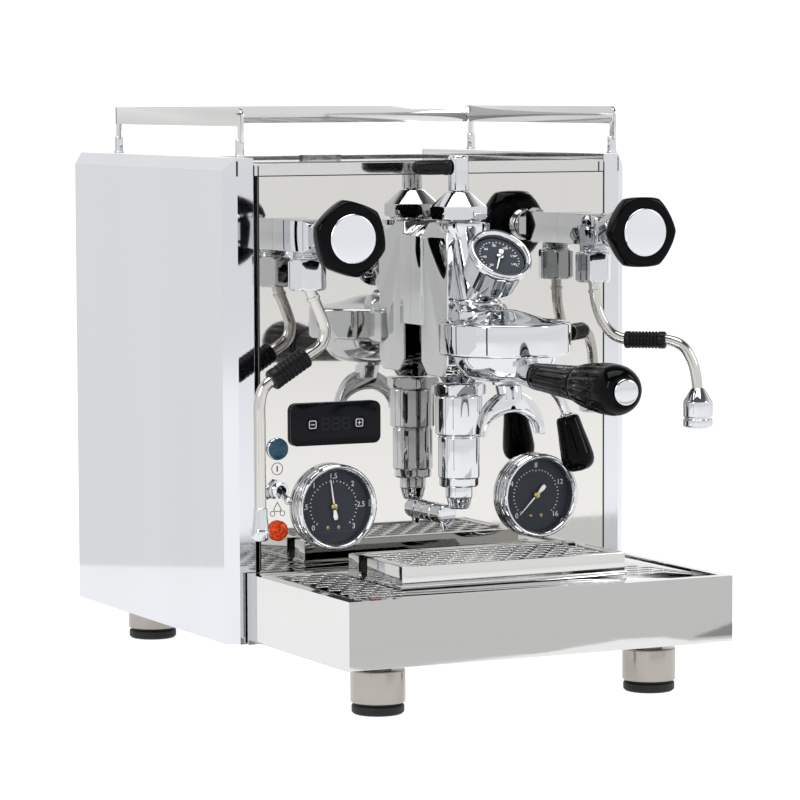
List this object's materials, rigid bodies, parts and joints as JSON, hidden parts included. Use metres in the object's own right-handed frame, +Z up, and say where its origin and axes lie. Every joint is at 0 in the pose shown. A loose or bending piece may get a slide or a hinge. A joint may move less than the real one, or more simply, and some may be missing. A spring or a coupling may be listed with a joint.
{
  "type": "espresso machine",
  "caption": "Home espresso machine with a lever brew group, portafilter, steam and hot-water wands, gauges, drip tray and cup rail.",
  "frame": {"origin": "middle of the bottom of the whole machine's box, on the table", "axes": "+Z up, the front of the machine and the portafilter handle face -Y, +X to the right seen from the front"},
  "size_m": [0.3242, 0.546, 0.386],
  "materials": {
    "side_steel": "smooth satin sheet",
    "mirror_steel": "mirror polished",
    "warm_steel": "turned and brushed",
    "polished_chrome": "mirror",
    "gloss_black": "gloss",
    "soft_black": "satin",
    "dial_slate": "matte",
    "needle_white": "satin",
    "teal_lens": "gloss",
    "orange_lens": "gloss",
    "tank_plastic": "translucent",
    "copper_boiler": "brushed"
  },
  "bodies": {
    "housing": {"base_pan": "side_steel", "left_side_panel": "side_steel", "right_side_panel": "side_steel", "back_panel": "side_steel", "mains_inlet": "soft_black", "front_panel": "mirror_steel", "cup_tray": "mirror_steel", "cup_rail": "mirror_steel", "boiler": "copper_boiler", "front_left_foot": "warm_steel", "front_right_foot": "warm_steel", "rear_left_foot": "warm_steel", "rear_right_foot": "warm_steel", "display": "gloss_black", "power_lamp": "teal_lens", "heat_lamp": "orange_lens", "toggle_bushing": "polished_chrome", "boiler_gauge_case": "polished_chrome", "boiler_gauge_dial": "dial_slate", "pump_gauge_case": "polished_chrome", "pump_gauge_dial": "dial_slate", "group_gauge_case": "polished_chrome", "group_gauge_dial": "dial_slate", "steam_valve_body": "polished_chrome", "steam_union_nut": "polished_chrome", "water_valve_body": "polished_chrome", "water_union_nut": "polished_chrome", "group_casting": "polished_chrome", "group_cap_nut": "polished_chrome", "infusion_chamber": "polished_chrome", "shower_screen": "side_steel", "drain_spout": "polished_chrome"},
    "tank": {"water_tank": "tank_plastic"},
    "lid": {"tank_lid": "side_steel"},
    "minus": {"minus_key": "gloss_black"},
    "plus": {"plus_key": "gloss_black"},
    "toggle": {"toggle_lever": "polished_chrome"},
    "boiler_pointer": {"boiler_gauge_needle": "needle_white"},
    "pump_pointer": {"pump_gauge_needle": "needle_white"},
    "group_pointer": {"group_gauge_needle": "needle_white"},
    "steam_control": {"steam_knob": "gloss_black", "steam_knob_cap": "polished_chrome"},
    "water_control": {"water_knob": "gloss_black", "water_knob_cap": "polished_chrome"},
    "steam_arm": {"steam_wand": "polished_chrome", "steam_grip": "soft_black"},
    "water_arm": {"water_wand": "polished_chrome", "water_grip": "soft_black"},
    "flow_control": {"flow_post": "polished_chrome", "flow_paddle": "gloss_black"},
    "lever": {"brew_lever": "polished_chrome", "lever_grip": "gloss_black"},
    "portafilter": {"portafilter_body": "polished_chrome", "filter_basket": "side_steel", "portafilter_spout": "polished_chrome", "portafilter_handle": "gloss_black"},
    "tray": {"drip_tray": "mirror_steel"},
    "grille": {"tray_grille": "mirror_steel"},
    "stage": {"cup_stage": "mirror_steel"}
  },
  "joints": [
    {"name": "steam_knob_turn", "type": "hinge", "parent": "housing", "child": "steam_control", "pos_m": [-0.11785, -0.09851, 0.303], "axis": [0, 1, 0], "continuous": true},
    {"name": "water_knob_turn", "type": "hinge", "parent": "housing", "child": "water_control", "pos_m": [0.09655, -0.09851, 0.303], "axis": [0, 1, 0], "continuous": true},
    {"name": "steam_wand_swivel", "type": "hinge", "parent": "housing", "child": "steam_arm", "pos_m": [-0.11785, -0.03851, 0.277], "axis": [0, 0, 1], "range_deg": [-18, 100]},
    {"name": "water_wand_swivel", "type": "hinge", "parent": "housing", "child": "water_arm", "pos_m": [0.09655, -0.03851, 0.277], "axis": [0, 0, 1], "range_deg": [-75, 22]},
    {"name": "brew_lever_lift", "type": "hinge", "parent": "housing", "child": "lever", "pos_m": [0.01335, -0.04651, 0.213], "axis": [-1, 0, 0], "range_deg": [0, 105]},
    {"name": "flow_paddle_turn", "type": "hinge", "parent": "housing", "child": "flow_control", "pos_m": [-0.01065, -0.04651, 0.34], "axis": [0, 0, 1], "range_deg": [-60, 170]},
    {"name": "portafilter_twist", "type": "hinge", "parent": "housing", "child": "portafilter", "pos_m": [-0.01065, -0.11251, 0.23], "axis": [0, 0, -1], "range_deg": [0, 45]},
    {"name": "toggle_flip", "type": "hinge", "parent": "housing", "child": "toggle", "pos_m": [-0.12825, -0.01531, 0.1336], "axis": [-1, 0, 0], "range_deg": [0, 44]},
    {"name": "minus_press", "type": "slide", "parent": "housing", "child": "minus", "axis": [0, 1, 0], "range_m": [0, 0.0008], "stiffness_N_per_m": 150},
    {"name": "plus_press", "type": "slide", "parent": "housing", "child": "plus", "axis": [0, 1, 0], "range_m": [0, 0.0008], "stiffness_N_per_m": 150},
    {"name": "boiler_needle_turn", "type": "hinge", "parent": "housing", "child": "boiler_pointer", "pos_m": [-0.08745, -0.01601, 0.1204], "axis": [0, 1, 0], "range_deg": [-120, 120], "stiffness_Nm_per_rad": 0.002},
    {"name": "pump_needle_turn", "type": "hinge", "parent": "housing", "child": "pump_pointer", "pos_m": [0.06615, -0.01601, 0.1204], "axis": [0, 1, 0], "range_deg": [0, 270], "stiffness_Nm_per_rad": 0.002},
    {"name": "group_needle_turn", "type": "hinge", "parent": "housing", "child": "group_pointer", "pos_m": [-0.01065, -0.10711, 0.291], "axis": [0, 0.7071, -0.7071], "range_deg": [0, 240], "stiffness_Nm_per_rad": 0.002},
    {"name": "tray_slide", "type": "slide", "parent": "housing", "child": "tray", "axis": [0, -1, 0], "range_m": [0, 0.15]},
    {"name": "grille_lift", "type": "slide", "parent": "tray", "child": "grille", "axis": [0, 0, 1], "range_m": [0, 0.01]},
    {"name": "stage_lift", "type": "slide", "parent": "grille", "child": "stage", "axis": [0, 0, 1], "range_m": [0, 0.012]},
    {"name": "tank_lift", "type": "slide", "parent": "housing", "child": "tank", "axis": [0, 0, 1], "range_m": [0, 0.06]},
    {"name": "lid_lift", "type": "slide", "parent": "tank", "child": "lid", "axis": [0, 0, 1], "range_m": [0, 0.03]}
  ]
}
